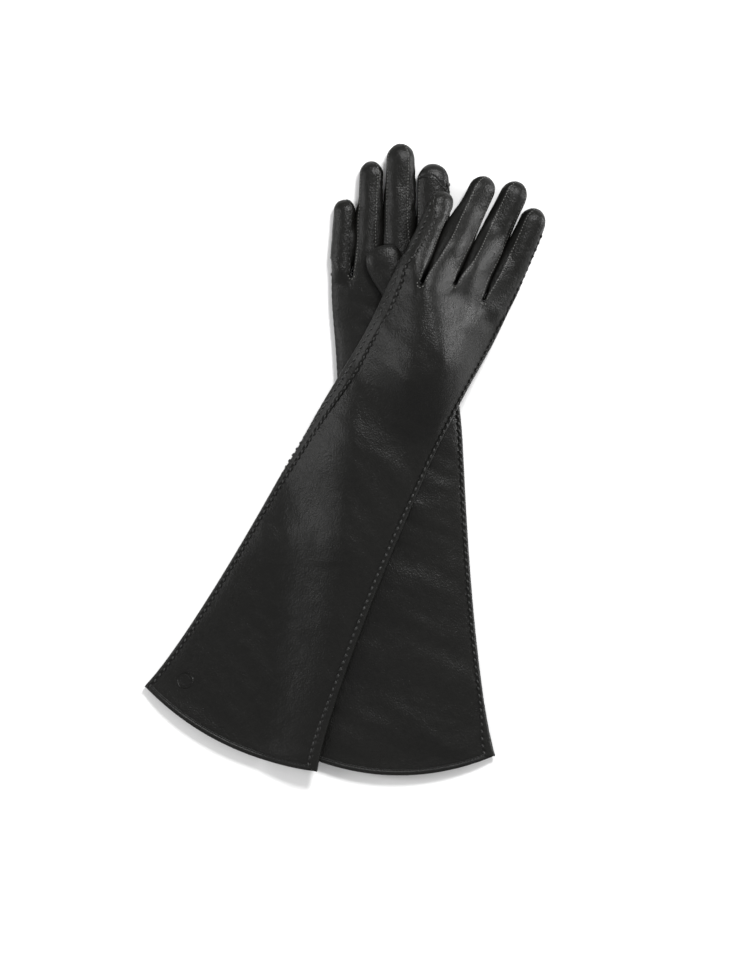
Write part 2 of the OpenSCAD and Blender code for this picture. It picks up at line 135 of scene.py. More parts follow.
# Stitches: how far apart they are; their length, width and height; their sides and rings.
HAND_STITCH_PITCH, HAND_STITCH = 5.3, (3.0, 1.4, 1.5, 8, 7)
MACHINE_STITCH_PITCH = 2.4
FINGER_STITCH, SLOT_STITCH = (1.5, 0.62, 0.60, 6, 5), (1.5, 0.8, 0.8, 6, 5)
HEM_STITCH = (1.5, 0.5, 0.42, 6, 5)
BOLD_STITCHES = {(RIGHT, LITTLE): 1.7}
# How far a fourchette's wall stands out of the finger, by glove, finger and which way it faces.
WALL_BELLY = {(LEFT, RING, 1): 4.0, (LEFT, MIDDLE, 1): 1.5, (LEFT, INDEX, 1): 0.8,
              (RIGHT, RING, 0): 1.3, (RIGHT, MIDDLE, 1): 1.3, (RIGHT, MIDDLE, 0): 0.8}
STAMP_AT, STAMP_RADIUS = (16.6, -46.5), 6.4
# Creases gather about the wrist, and one knuckle shows through the upper glove's back.
WRIST_CREASES_AT, WRIST_CREASES_LENGTH = 275, 42
KNUCKLE_AT, KNUCKLE_SPREAD, KNUCKLE_RISE = (342, 25), (9, 10), 1.8
PUCKER_AT, PUCKER_WIDTH = 1.4, 2.6
# Depth of the fourchettes' leather, the touch cap's and the stamp's.
FOURCHETTE_LEATHER, CAP_LEATHER, STAMP_LEATHER = 0.8, 0.75, 0.6


def finger_name(g, i):
    return f"{GLOVES[g]}_{FINGERS[i]}"


def smooth(t):
    t = np.clip(t, 0, 1)
    return t * t * (3 - 2 * t)


def mix(a, b, t):
    return a + (b - a) * t


def crossed(a, b):
    return np.meshgrid(a, b, indexing="ij")


# ---- The shape of one glove lying flat ----

def half_width(u):
    u = np.asarray(u, float)
    up = np.maximum(u, 0)
    return (HAND_HALF_WIDTH + FLARE * np.exp(-up / FLARE_LENGTH)
            + HEM_KICK * np.exp(-up / HEM_KICK_LENGTH)
            - WRIST_DRAW * np.exp(-((u - WRIST_AT) / WRIST_LENGTH) ** 2)
            + KNUCKLE_SWELL * smooth((u - KNUCKLE_SWELL_START) / KNUCKLE_SWELL_LENGTH))


def thickness(u):
    return HAND_THICKNESS - HEM_FLATTENING * (1 - smooth(np.asarray(u, float) / CUFF_LENGTH))


def centre(g, u):
    return HAND_OFFSET[g] * smooth((np.asarray(u, float) - OFFSET_START) / OFFSET_LENGTH)


def slots(g):
    """Across the base of the fingers: the glove's edge, three crotches, the other edge."""
    c, h = float(centre(g, HAND_LENGTH)), float(half_width(HAND_LENGTH))
    return [c - h, *CROTCH_ACROSS[g], c + h]


def hem_at(g, c):
    return -HEM_BULGE[g] * (1 - (2 * c - 1) ** 2)


def base_at(c):
    return np.interp(c, [0, 0.25, 0.5, 0.75, 1], [HAND_LENGTH, *CROTCH_ALONG, HAND_LENGTH])


def hand_profile(q):
    return np.maximum(0, 1 - np.abs(q) ** 2.6) ** 0.6


def open_side_of(i, x):
    """Whether x, from -1 to 1 across finger i, lies on the glove's own edge and not in a crotch."""
    return ((i == LITTLE) & (x < 0)) | ((i == INDEX) & (x > 0))


def root_profile(c):
    k = np.minimum(3, np.floor(c * 4))
    x = 2 * (c * 4 - k) - 1
    x = np.where(open_side_of(k, x), x, x * math.cos(SEAM_ANGLE))
    return np.sqrt(np.maximum(0, 1 - x ** 2))


def hand_point(g, side, u, c, depth=0.0):
    """A point of the hand or cuff: c is the share of the way from the little finger's side
    seam to the index finger's, and depth the distance in from the leather's outer face."""
    u, c = np.broadcast_arrays(np.asarray(u, float), np.asarray(c, float))
    h, t = half_width(u), thickness(u) / 2
    to_slots = (np.interp(c, [0, 0.25, 0.5, 0.75, 1], slots(g)) - centre(g, HAND_LENGTH))
    across = mix(2 * c - 1, to_slots / half_width(HAND_LENGTH),
                 smooth((u - 180) / (HAND_LENGTH - 180)))
    rise = mix(hand_profile(across), root_profile(c),
               smooth((u - base_at(c) + KNUCKLE_LENGTH) / KNUCKLE_LENGTH))
    p = rise if side == UPPER else np.minimum(1, LOWER_FULLNESS * rise)
    w = t + side * (SEAM_GAP + (t - depth - SEAM_GAP) * p)
    return np.stack([u, centre(g, u) + across * (h - depth), w], -1)


# ---- Fingers ----

def finger_root(g, i):
    s = slots(g)
    return np.array([[base_at(i / 4), s[i]], [base_at((i + 1) / 4), s[i + 1]]], float)


def finger_tip(g, i):
    return np.array([TIP_ALONG[g][i], TIP_ACROSS[g][i]], float)


def finger_axis(g, i):
    """Start, direction and length of a finger's centre line."""
    start = finger_root(g, i).mean(0)
    run = finger_tip(g, i) - start
    length = float(np.linalg.norm(run))
    return start, run / length, length


def round_off(s, share):
    return np.sqrt(np.maximum(0, 1 - (np.maximum(0, s - 1 + share) / share) ** 2))


def root_spread(i, angle):
    """Where a point round the finger stands across its root, from -1 to 1.

    A slot stays open on each side of a crotch, where the fourchette turns.
    """
    x = np.cos(angle)
    return np.where(open_side_of(i, x), x, SLOT_SHARE * np.clip(x / math.cos(SEAM_ANGLE), -1, 1))


def root_rise(i, angle):
    """Height of a point round the finger at its root, as a share of half the thickness."""
    x = np.cos(angle)
    top = np.sqrt(np.maximum(0, 1 - np.where(open_side_of(i, x), 1, SLOT_SHARE ** 2) * x ** 2))
    edge = math.sqrt(1 - (SLOT_SHARE * math.cos(SEAM_ANGLE)) ** 2)
    on_wall = (np.abs(np.sin(angle)) < math.sin(SEAM_ANGLE)) & ~open_side_of(i, x)
    rise = np.where(on_wall, np.abs(np.sin(angle)) / math.sin(SEAM_ANGLE) * edge, top)
    return np.where(np.sin(angle) < 0, -np.minimum(1, LOWER_FULLNESS * rise), rise)


def finger_point(g, i, s, angle, depth=0.0):
    """A point of a finger: s from its root to its tip, and the angle round it from the index
    side. The whole finger is turned a little about its own length past its root."""
    s, angle = np.broadcast_arrays(np.asarray(s, float), np.asarray(angle, float))
    phi = angle - SEAM_ROLL[g] * smooth(s / 0.4)
    start, way, length = finger_axis(g, i)
    side = np.array([-way[1], way[0]])
    root = finger_root(g, i)
    full = FINGER_HALF[g][i]
    tip = round_off(s, full / length)
    x = np.cos(phi)
    half = (full * (1 - FINGER_TAPER * s) - depth) * tip
    b = HAND_THICKNESS / 2 - s
    spread = root_spread(i, angle)
    root_half = np.linalg.norm(root[1] - root[0]) / 2
    at_root = ((root[0] + root[1]) / 2
               + (root[1] - root[0]) / 2 * (spread * (1 - depth / root_half))[..., None])
    reach = s * (length - depth)
    along = way * reach[..., None]
    p = mix(at_root + along, start + along + side * (half * x)[..., None],
            smooth(s / ROOT_SHARE)[..., None])
    height = mix(root_rise(i, angle), np.sin(phi), smooth(s / ROOT_SHARE))
    return np.concatenate([p, (b + (b - depth) * tip * height)[..., None]], -1)


# ---- Thumb ----

def thumb_start(g):
    return np.array([THUMB_ALONG[0], THUMB_ACROSS[0] + HAND_OFFSET[g]], float)


THUMB_RUN = np.array([THUMB_ALONG[1] - THUMB_ALONG[0], THUMB_ACROSS[1] - THUMB_ACROSS[0]], float)
THUMB_LENGTH = float(np.linalg.norm(THUMB_RUN))
THUMB_WAY = THUMB_RUN / THUMB_LENGTH


def thumb_point(g, s, phi, depth):
    s, phi = np.broadcast_arrays(np.asarray(s, float), np.asarray(phi, float))
    b = THUMB_HALF_THICKNESS[g]
    ends = round_off(s, THUMB_TIP_SHARE) ** 0.55 * round_off(1 - s, THUMB_ROOT_SHARE)
    swell = 0.78 + 0.34 * smooth((s - 0.42) / 0.4)
    height = HAND_THICKNESS + GAP + b if g == RIGHT else -2 * GAP - b
    side = np.array([-THUMB_WAY[1], THUMB_WAY[0]])
    # Its tip is fuller on the side that lies towards the little finger.
    swell = swell * np.where(np.cos(phi) < 0, 1 + 0.16 * smooth((s - 0.55) / 0.35), 1)
    p = (thumb_start(g) + THUMB_WAY * mix(depth, THUMB_LENGTH - depth, s)[..., None]
         + side * ((THUMB_HALF - depth) * swell * ends * np.cos(phi))[..., None])
    return np.concatenate([p, (height + (b - depth) * ends * np.sin(phi))[..., None]], -1)


# ---- How the gloves lie ----

def lay(g, u, v):
    a = TURN[g]
    return (ORIGIN[g][0] + u * math.sin(a) + v * math.cos(a),
            ORIGIN[g][1] + u * math.cos(a) - v * math.sin(a))


def unlay(g, x, y):
    a, dx, dy = TURN[g], x - ORIGIN[g][0], y - ORIGIN[g][1]
    return dx * math.sin(a) + dy * math.cos(a), dx * math.cos(a) - dy * math.sin(a)


def thumb_hill(g, u, v):
    """1 over the thumb's footprint, falling to 0 around it."""
    d = np.stack([u, v], -1) - thumb_start(g)
    t = np.clip(d @ THUMB_WAY / THUMB_LENGTH, 0, 1)
    far = np.linalg.norm(d - THUMB_WAY * (THUMB_LENGTH * t)[..., None], axis=-1)
    return smooth((THUMB_HALF + THUMB_MARGIN + THUMB_SLOPE - far) / THUMB_SLOPE)


def lift(g, x, y):
    """Height of a glove's underside: the left one drapes over the right one and its thumb."""
    if g == RIGHT:
        return np.zeros_like(x)
    u, v = unlay(RIGHT, x, y)
    inside = half_width(u) - np.abs(v - centre(RIGHT, np.minimum(u, HAND_LENGTH)))
    hill = (smooth((inside + DRAPE) / (DRAPE + EDGE_OVERLAP)) * smooth((TIPS_END - u) / TIPS_SLOPE)
            * smooth((u - HEM_START) / HEM_SLOPE))
    under = ((thickness(u) + LIE_GAP) * hill
             + (2 * THUMB_HALF_THICKNESS[RIGHT] + GAP) * thumb_hill(RIGHT, u, v))
    own = (2 * THUMB_HALF_THICKNESS[LEFT] + 3 * GAP) * thumb_hill(LEFT, *unlay(LEFT, x, y))
    return under + own


def place(g, q):
    """Points of a glove (mm, glove's own frame) as they lie, in metres."""
    x, y = lay(g, q[..., 0], q[..., 1])
    return np.stack([x, y, q[..., 2] + lift(g, x, y)], -1) * MM


# ---- Relief of the leather: soft undulations, creases and puckers ----

def noise_at(points, size, seed):
    """Smooth noise of about -1 to 1 at (n, 2) points in mm, with features of that size."""
    shift = 37.1 * seed
    return np.array([noise.noise(Vector((x / size[0] + shift, y / size[1] - shift, shift)))
                     for x, y in points.reshape(-1, 2)]).reshape(points.shape[:-1])


def hand_relief(g, side, q, c):
    """How far the leather stands out of the plain shape (mm)."""
    uv = q[..., :2]
    rolls = noise_at(uv, (34, 58), 3 + 5 * g + side)
    folds = noise_at(np.stack([uv[..., 0] + 0.45 * uv[..., 1], uv[..., 1]], -1), (14, 40), 9 + g)
    small = noise_at(uv, (7, 10), 21 + g)
    wrist = np.exp(-((uv[..., 0] - WRIST_CREASES_AT) / WRIST_CREASES_LENGTH) ** 2)
    height = 1.5 * rolls + (0.62 + 0.38 * wrist) * folds + 0.22 * small
    if (g, side) == (LEFT, UPPER):
        from_knuckle = (uv - KNUCKLE_AT) / KNUCKLE_SPREAD
        height = height + KNUCKLE_RISE * np.exp(-(from_knuckle ** 2).sum(-1))
    edge = smooth(np.minimum(c, 1 - c) / 0.10)
    ends = smooth((uv[..., 0] - hem_at(g, c)) / 16) * smooth((base_at(c) - uv[..., 0]) / 12)
    return height * edge * ends


def pucker(c, u):
    """Dimples that the bold side stitches draw into the leather's edge."""
    from_edge = np.minimum(c, 1 - c) * 2 * half_width(u)
    wave = 0.5 - 0.5 * np.cos(2 * math.pi * u / HAND_STITCH_PITCH)
    return -(0.30 + 0.28 * wave) * np.exp(-((from_edge - PUCKER_AT) / PUCKER_WIDTH) ** 2)


# ---- Meshes: closed sheets, swept sections and stitches ----

def grid_normals(points):
    n = np.cross(np.gradient(points, axis=0), np.gradient(points, axis=1))
    length = np.linalg.norm(n, axis=-1, keepdims=True)
    return n / np.maximum(length, 1e-12)


def outward_normals(outer, inner):
    n = grid_normals(outer)
    return -n if float((n * (outer - inner)).sum()) < 0 else n


def turned_to(normals, way):
    """The normals, each turned over where it points against its way."""
    return normals * np.sign((normals * way).sum(-1, keepdims=True))


# The relief dips this far below the surface the gloves lie on, and the skin that is no higher
# than the second figure is pressed together until it lies on it (mm).
DIPS, PRESSED = 1.1, 1.0


def laid_down(points):
    x, y, z = points.T
    low, high = -DIPS * MM, PRESSED * MM
    return np.stack([x, y, np.where(z < high, (z - low) * high / (high - low), z)], -1)


class Solid:
    """Gathers closed shells and writes them as one mesh whose shading normals are its own."""

    def __init__(self):
        self.points, self.quads, self.normals, self.count = [], [], [], 0

    def add(self, points, quads, normals):
        self.points.append(points.reshape(-1, 3))
        self.quads.append(quads + self.count)
        self.normals.append(normals)
        self.count += len(self.points[-1])

    def sheet(self, outer, inner, normals):
        """A closed sheet between two grids of points."""
        rows, cols = outer.shape[:2]
        size = rows * cols
        n_out = grid_normals(outer)
        flip = float((n_out * (outer - inner)).sum()) < 0
        n_in = grid_normals(inner) * (1 if flip else -1)
        n_out = -n_out if flip else n_out
        if normals is not None:
            n_out = normals
        index = np.arange(size).reshape(rows, cols)
        a, b, c, d = index[:-1, :-1], index[:-1, 1:], index[1:, 1:], index[1:, :-1]
        rims = (a[0], b[0]), (c[-1], d[-1]), (d[:, 0], a[:, 0]), (b[:, -1], c[:, -1])
        walls = np.concatenate([np.stack([p, q, q + size, p + size], -1) for p, q in rims])
        top = np.stack([x.ravel() for x in (a, d, c, b)], -1)
        bottom = top[:, ::-1] + size
        if flip:
            top, bottom, walls = top[:, ::-1], bottom[:, ::-1], walls[:, ::-1]
        points = np.concatenate([outer.reshape(-1, 3), inner.reshape(-1, 3)])
        vertex_normals = np.concatenate([n_out.reshape(-1, 3), n_in.reshape(-1, 3)])
        corner = points[walls]
        wall_n = np.cross(corner[:, 2] - corner[:, 0], corner[:, 3] - corner[:, 1])
        wall_n /= np.maximum(np.linalg.norm(wall_n, axis=-1, keepdims=True), 1e-12)
        normals = np.concatenate([vertex_normals[top], vertex_normals[bottom],
                                  np.repeat(wall_n[:, None], 4, 1)])
        self.add(points, np.concatenate([top, bottom, walls]), normals)

    def tube(self, rings):
        """A closed tube through (n, k, 3) rings, with its ends closed to a point."""
        n, k = rings.shape[:2]
        first, last = rings[0].mean(0), rings[-1].mean(0)
        rings = np.concatenate([np.repeat(first[None, None], k, 1), rings,
                                np.repeat(last[None, None], k, 1)])
        n += 2
        wrapped = np.concatenate([rings[:, -1:], rings, rings[:, :1]], 1)
        normals = grid_normals(wrapped)[:, 1:-1]
        middle = rings.mean(1, keepdims=True)
        flip = float((normals[2:-2] * (rings - middle)[2:-2]).sum()) < 0
        normals = -normals if flip else normals
        out = rings[[0, -1]] - rings[[2, -3]].mean(1, keepdims=True)
        normals[[0, -1]] = out / np.maximum(np.linalg.norm(out, axis=-1, keepdims=True), 1e-12)
        index = np.arange(n * k).reshape(n, k)
        a, d = index[:-1], index[1:]
        b, c = np.roll(a, -1, 1), np.roll(d, -1, 1)
        quads = np.stack([x.ravel() for x in (a, d, c, b)], -1)
        quads = quads[:, ::-1] if flip else quads
        self.add(rings, quads, normals.reshape(-1, 3)[quads])

    def stitches(self, centres, along, up, length, width, height, sides, rings):
        """A bead of thread at each centre, along the seam and standing on the leather."""
        turn = np.linspace(0, 2 * math.pi, sides, endpoint=False)
        t = np.linspace(-1, 1, rings)
        fat = np.sqrt(np.maximum(0.0, 1 - np.abs(t) ** 3.0)) * 0.98 + 0.02
        across = np.cross(along, up)
        for p, f, a, n in zip(centres, along, across, up):
            ring = (p + f * (t * length / 2)[:, None, None]
                    + a * (fat[:, None] * np.cos(turn) * width / 2)[..., None]
                    + n * (fat[:, None] * np.sin(turn) * height / 2)[..., None])
            self.tube(ring)

    def ring(self, points):
        """A closed ring from a grid of points that wraps round both ways."""
        rows, cols = points.shape[:2]
        wrapped = np.pad(points, ((1, 1), (1, 1), (0, 0)), "wrap")
        normals = grid_normals(wrapped)[1:-1, 1:-1]
        flip = float((normals * (points - points.mean(1, keepdims=True))).sum()) < 0
        normals = -normals if flip else normals
        a = np.arange(rows * cols).reshape(rows, cols)
        d = np.roll(a, -1, 0)
        quads = np.stack([x.ravel() for x in (a, d, np.roll(d, -1, 1), np.roll(a, -1, 1))], -1)
        quads = quads[:, ::-1] if flip else quads
        self.add(points, quads, normals.reshape(-1, 3)[quads])

    def make(self, name, material):
        points = laid_down(np.concatenate(self.points))
        quads = np.concatenate(self.quads)
        normals = np.concatenate(self.normals).reshape(-1, 3)
        mesh = bpy.data.meshes.new(name)
        mesh.vertices.add(len(points))
        mesh.vertices.foreach_set("co", points.ravel())
        mesh.loops.add(quads.size)
        mesh.loops.foreach_set("vertex_index", quads.ravel())
        mesh.polygons.add(len(quads))
        mesh.polygons.foreach_set("loop_start", np.arange(0, quads.size, 4))
        mesh.update(calc_edges=True)
        mesh.validate()
        mesh.polygons.foreach_set("use_smooth", np.ones(len(mesh.polygons), bool))
        if len(mesh.loops) == len(normals):
            mesh.normals_split_custom_set(normals.tolist())
        mesh.materials.append(material)
        piece = bpy.data.objects.new(name, mesh)
        bpy.context.scene.collection.objects.link(piece)
        return piece


def along_curve(points, pitch, start, stop):
    """Evenly spaced places along a run of points (m), as indices that may fall between two."""
    steps = np.linalg.norm(np.diff(points, axis=0), axis=1)
    run = np.concatenate([[0], np.cumsum(steps)])
    count = max(1, int((run[-1] - start - stop) / pitch))
    return np.interp(start + pitch * (np.arange(count) + 0.5), run, np.arange(len(points)))


def between(values, places):
    low = np.minimum(np.floor(places).astype(int), len(values) - 2)
    t = (places - low)[:, None]
    return values[low] * (1 - t) + values[low + 1] * t


def unit(v):
    return v / np.maximum(np.linalg.norm(v, axis=-1, keepdims=True), 1e-12)


def sew(solid, curve, normals, pitch, size, start=0.0, stop=0.0, slant=0.0):
    """A row of stitches along a curve on a surface with those normals (m); sizes in mm."""
    places = along_curve(curve, pitch * MM, start, stop)
    up = unit(between(normals, places))
    way = unit(between(np.gradient(curve, axis=0), places))
    across = np.cross(way, up)
    way = way * math.cos(slant) + across * math.sin(slant)
    length, width, height, sides, rings = size
    solid.stitches(between(curve, places), way, up, length * MM, width * MM, height * MM, sides, rings)


# ---- Materials ----

class Nodes:
    """Short names for the nodes that the procedural materials are made of."""

    def __init__(self, name):
        self.material = bpy.data.materials.new(name)
        self.material.use_nodes = True
        self.tree = self.material.node_tree
        self.shader = self.tree.nodes["Principled BSDF"]
        self.coordinates = self.new("ShaderNodeTexCoord").outputs["Object"]

    def new(self, kind, inputs=None, **values):
        node = self.tree.nodes.new(kind)
        for key, value in values.items():
            setattr(node, key, value)
        for key, value in (inputs or {}).items():
            node.inputs[key].default_value = value
        return node

    def link(self, source, target):
        self.tree.links.new(source, target)

    def stretched(self, scale, turn):
        node = self.new("ShaderNodeMapping", {"Scale": scale, "Rotation": (0, 0, turn)})
        self.link(self.coordinates, node.inputs["Vector"])
        return node.outputs["Vector"]

    def noise(self, scale, detail=2.0, roughness=0.5, vector=None):
        node = self.new("ShaderNodeTexNoise", {"Scale": scale, "Detail": detail, "Roughness": roughness})
        self.link(vector or self.coordinates, node.inputs["Vector"])
        return node.outputs["Fac"]

    def cells(self, scale, feature="F1", vector=None):
        node = self.new("ShaderNodeTexVoronoi", {"Scale": scale}, feature=feature)
        self.link(vector or self.coordinates, node.inputs["Vector"])
        return node.outputs["Distance"]

    def math(self, operation, a, b):
        node = self.new("ShaderNodeMath", operation=operation)
        for socket, value in zip(node.inputs, (a, b)):
            if isinstance(value, (int, float)):
                socket.default_value = value
            else:
                self.link(value, socket)
        return node.outputs[0]

    def spread(self, value, low, high, to_low, to_high):
        node = self.new("ShaderNodeMapRange")
        for socket, number in zip(list(node.inputs)[1:5], (low, high, to_low, to_high)):
            socket.default_value = number
        self.link(value, node.inputs["Value"])
        return node.outputs["Result"]

    def colours(self, value, *stops):
        node = self.new("ShaderNodeValToRGB")
        ramp = node.color_ramp
        while len(ramp.elements) < len(stops):
            ramp.elements.new(0.5)
        for element, (where, colour) in zip(ramp.elements, stops):
            element.position = where
            element.color = (*colour, 1)
        self.link(value, node.inputs["Fac"])
        self.link(node.outputs["Color"], self.shader.inputs["Base Color"])

    def bump(self, height, distance, strength, before=None):
        node = self.new("ShaderNodeBump", {"Distance": distance, "Strength": strength})
        self.link(height, node.inputs["Height"])
        if before:
            self.link(before, node.inputs["Normal"])
        self.link(node.outputs["Normal"], self.shader.inputs["Normal"])
        return node.outputs["Normal"]


def leather_material(name, grain, dark, light, rough, shine):
    """Dyed nappa: pebble grain, finer pores, and dye and polish that vary over the skin."""
    n = Nodes(name)
    pebbles = n.cells(1 / grain, "SMOOTH_F1", n.stretched((1, 0.82, 1), 0.35))
    fine = n.noise(1.1 / grain, 3, 0.62)
    height = n.math("ADD", n.math("MULTIPLY", pebbles, -0.7), n.math("MULTIPLY", fine, 1.1))
    clouds = n.noise(17, 3, 0.55)
    mottle = n.noise(330, 3, 0.65)
    shade = n.math("ADD", n.math("MULTIPLY", clouds, 0.5), n.math("MULTIPLY", mottle, 0.5))
    n.colours(shade, (0.34, dark), (0.66, light))
    polish = n.math("ADD", n.math("MULTIPLY", n.noise(34, 4, 0.6), 0.6), n.math("MULTIPLY", fine, 0.4))
    n.link(n.spread(polish, 0.35, 0.65, rough + 0.06, rough - 0.06), n.shader.inputs["Roughness"])
    creases = n.noise(150, 3, 0.55, n.stretched((1.0, 0.55, 1.0), 0.8))
    n.bump(height, 0.20 * grain, 0.9, n.bump(creases, 0.0004, 0.7))
    n.shader.inputs["Specular IOR Level"].default_value = shine
    return n.material


def thread_material():
    """Waxed thread: a twist across each stitch."""
    n = Nodes("thread")
    ply = n.noise(900, 2, 0.6, n.stretched((1, 0.4, 1), 0.9))
    n.colours(ply, (0.3, (0.006, 0.006, 0.006)), (0.75, (0.020, 0.020, 0.019)))
    n.link(n.spread(ply, 0.3, 0.7, 0.38, 0.6), n.shader.inputs["Roughness"])
    n.bump(ply, 0.0002, 0.8)
    n.shader.inputs["Specular IOR Level"].default_value = 0.40
    return n.material


def fine_thread_material():
    """The fingers' machine thread: finer, and painted a little paler than the leather as a painted
    highlight, for the glints that light catches on the black thread.
    """
    n = Nodes("fine_thread_painted_glint")
    ply = n.noise(1500, 2, 0.6)
    n.colours(ply, (0.3, (0.05, 0.05, 0.047)), (0.75, (0.13, 0.13, 0.12)))
    n.link(n.spread(ply, 0.3, 0.7, 0.32, 0.5), n.shader.inputs["Roughness"])
    n.bump(ply, 0.0001, 0.6)
    n.shader.inputs["Specular IOR Level"].default_value = 0.6
    return n.material


def lining_material():
    """Fine black jersey: ribs of small loops."""
    n = Nodes("lining_knit")
    wave = n.new("ShaderNodeTexWave", {"Scale": 210, "Distortion": 1.5}, bands_direction="X")
    n.link(n.coordinates, wave.inputs["Vector"])
    loops = n.cells(1300)
    height = n.math("ADD", wave.outputs["Fac"], n.math("MULTIPLY", loops, 0.8))
    n.colours(height, (0.2, (0.012, 0.012, 0.014)), (0.9, (0.05, 0.05, 0.055)))
    n.link(n.spread(loops, 0, 0.6, 0.95, 0.8), n.shader.inputs["Roughness"])
    n.bump(height, 0.0003, 0.8)
    n.shader.inputs["Sheen Weight"].default_value = 0.25
    n.shader.inputs["Sheen Roughness"].default_value = 0.5
    return n.material


LEATHER_SKIN = leather_material("nappa", 0.0012, (0.0034, 0.0034, 0.0030),
                                (0.0068, 0.0067, 0.0060), 0.32, 0.18)
# Fourchette leather: the same black nappa painted darker and given less shine, as painted shade for the
# shadow that falls in the slots between the fingers.
SHADED_FOURCHETTE_SKIN = leather_material("nappa_fourchette_painted_shade", 0.0014, (0.0022, 0.0022, 0.0020),
                                   (0.0045, 0.0045, 0.0040), 0.45, 0.07)
TOUCH_SKIN = leather_material("touch_nappa", 0.0011, (0.0040, 0.0040, 0.0038),
                              (0.0070, 0.0070, 0.0066), 0.30, 0.22)
BINDING_SKIN = leather_material("binding_nappa", 0.0012, (0.0035, 0.0035, 0.0032),
                                (0.0060, 0.0060, 0.0054), 0.36, 0.20)
THREAD = thread_material()
# The fine thread's pale grey is a painted highlight on black thread.
FINE_THREAD_PAINTED_GLINT = fine_thread_material()
KNIT = lining_material()


# ---- Grids shared by the panels and the fingers ----

# Shares of the way across a finger's strip, closer together beside its seams.
STRIP = np.array([0, 0.03, 0.065, 0.11, 0.17, 0.25, 0.35, 0.45, 0.55, 0.65, 0.75, 0.83, 0.89, 0.935,
                  0.97, 1])
ROW_PITCH = 1.5
FINGER_ROW_PITCH = 1.25
TIP_END = 0.99995
FOURCHETTE_START = 0.13


def strip_angles(i, side):
    first = math.pi - (0.01 if i == LITTLE else SEAM_ANGLE)
    last = 0.01 if i == INDEX else SEAM_ANGLE
    return mix(first, last, STRIP) * side


def hand_columns():
    """Columns for each finger's strip in turn, with those of a slot's end between two strips."""
    columns = []
    for i in range(4):
        columns += list((i + (1 + root_spread(i, strip_angles(i, UPPER))) / 2) / 4)
        if i < INDEX:
            columns += [(i + 1 + x * (1 - SLOT_SHARE) / 2) / 4 for x in SLOT_COLUMNS]
    return np.array(columns)


COLUMNS = hand_columns()


def finger_columns(i):
    first = i * (len(STRIP) + len(SLOT_COLUMNS))
    return slice(first, first + len(STRIP))


def strip_stand(i, t, width):
    """How far a strip's edges stand up where they lap over the fourchettes (mm)."""
    stand = 0.0
    for at_seam, e in ((i != LITTLE, t * width), (i != INDEX, (1 - t) * width)):
        if at_seam:
            stand = stand + (0.34 * smooth((3.0 - e) / 2.2)
                             - 0.26 * np.exp(-((e - 0.95) / 0.42) ** 2))
    return stand


def finger_relief(g, i, s, phi):
    length = finger_axis(g, i)[2]
    at = np.stack([s * length + 90 * i, phi * FINGER_HALF[g][i] + 300 * g], -1)
    slow = noise_at(at, (17, 9), 31 + 4 * g + i)
    cross = noise_at(np.stack([at[..., 0] + 0.5 * at[..., 1], at[..., 1]], -1), (3.6, 12), 51 + i)
    bend = np.exp(-((s - FOLD_AT) / 0.13) ** 2)
    return (0.55 * slow + (0.10 + 0.12 * bend) * cross) * smooth(s / 0.12) * smooth((1 - s) / 0.06)


def finger_skin(g, i, s, angle, depth, stand=0.0):
    """A finger's skin as it lies (m)."""
    relief = finger_relief(g, i, s, angle)
    return place(g, finger_point(g, i, s, angle, depth - stand - relief))


def finger_rows(g, i, start=0.0, end=TIP_END):
    """Shares along a finger at an even pitch, which close up round the tip."""
    length = finger_axis(g, i)[2]
    share = FINGER_HALF[g][i] / length
    straight = np.linspace(start, 1 - share, int((1 - share - start) * length / FINGER_ROW_PITCH))
    turn = np.linspace(0, math.asin(min(1, (end - 1 + share) / share)), 12)[1:]
    return np.concatenate([straight, 1 - share + share * np.sin(turn)])


def slot_end(c):
    """How far the rounded end of a slot reaches into the hand (mm)."""
    from_middle = np.abs(c - np.clip(np.round(c * 4), 1, 3) / 4) * 8 / (1 - SLOT_SHARE)
    return SLOT_REACH * np.sqrt(np.maximum(0, 1 - from_middle ** 2))


def hand_grid(g, side, pitch, depth=0.0, relief=True):
    """A hand panel's grid as it lies (m)."""
    rows = np.linspace(0, 1, int((HAND_LENGTH + HEM_BULGE[0]) / pitch))
    r, c = crossed(rows, COLUMNS)
    u = mix(hem_at(g, c), base_at(c) - slot_end(c), r)
    plain = hand_point(g, side, u, c)
    stand = 0.0
    if relief:
        stand = hand_relief(g, side, plain, c) + pucker(c, u)
    return place(g, hand_point(g, side, u, c, depth - stand))


# ---- Pieces ----

def keep(piece, body, *nodes):
    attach(piece, body)
    finish(nodes)


def keep_across(piece, g, i, *nodes):
    """The piece stays baked where it lies when the finger has a body of its own, and rides on the hand's
    body when it hasn't.
    """
    body, hand = finger_name(g, i), GLOVE_BODIES[g]
    if body in frame["bodies"]:
        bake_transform(piece)
    else:
        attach(piece, hand)
    finish(nodes)


def finish(nodes):
    nodes = [n for n in nodes if n in frame["nodes"]]
    if nodes:
        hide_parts(*nodes)


def sheet_piece(name, material, *sheets, normals=None):
    solid = Solid()
    for outer, inner in sheets:
        solid.sheet(outer, inner, normals)
    return solid.make(name, material)


def palm_side(g):
    return UPPER if g == RIGHT else LOWER


def side_name(g, side):
    return "palm" if side == palm_side(g) else "back"


def make_panel(g, side):
    """One side of the hand and cuff. Returns the shading of its last row, for the fingers."""
    pitch = ROW_PITCH if side == UPPER else 2 * ROW_PITCH
    outer = hand_grid(g, side, pitch)
    inner = hand_grid(g, side, pitch, LEATHER)
    outward = outward_normals(outer, inner)
    name = f"{GLOVES[g]}_{side_name(g, side)}"
    piece = sheet_piece(name + "_leather", LEATHER_SKIN, (outer, inner), normals=outward)
    keep(piece, GLOVE_BODIES[g], name + "_panel")
    return outward[-1]


def cap_seam(phi):
    """Where the touch patch starts along the index finger, lower down on its outer side."""
    turned = np.cos(phi)
    return 0.868 - 0.115 * smooth((turned - 0.25) / 0.7) - 0.012 * smooth((-turned - 0.3) / 0.6)


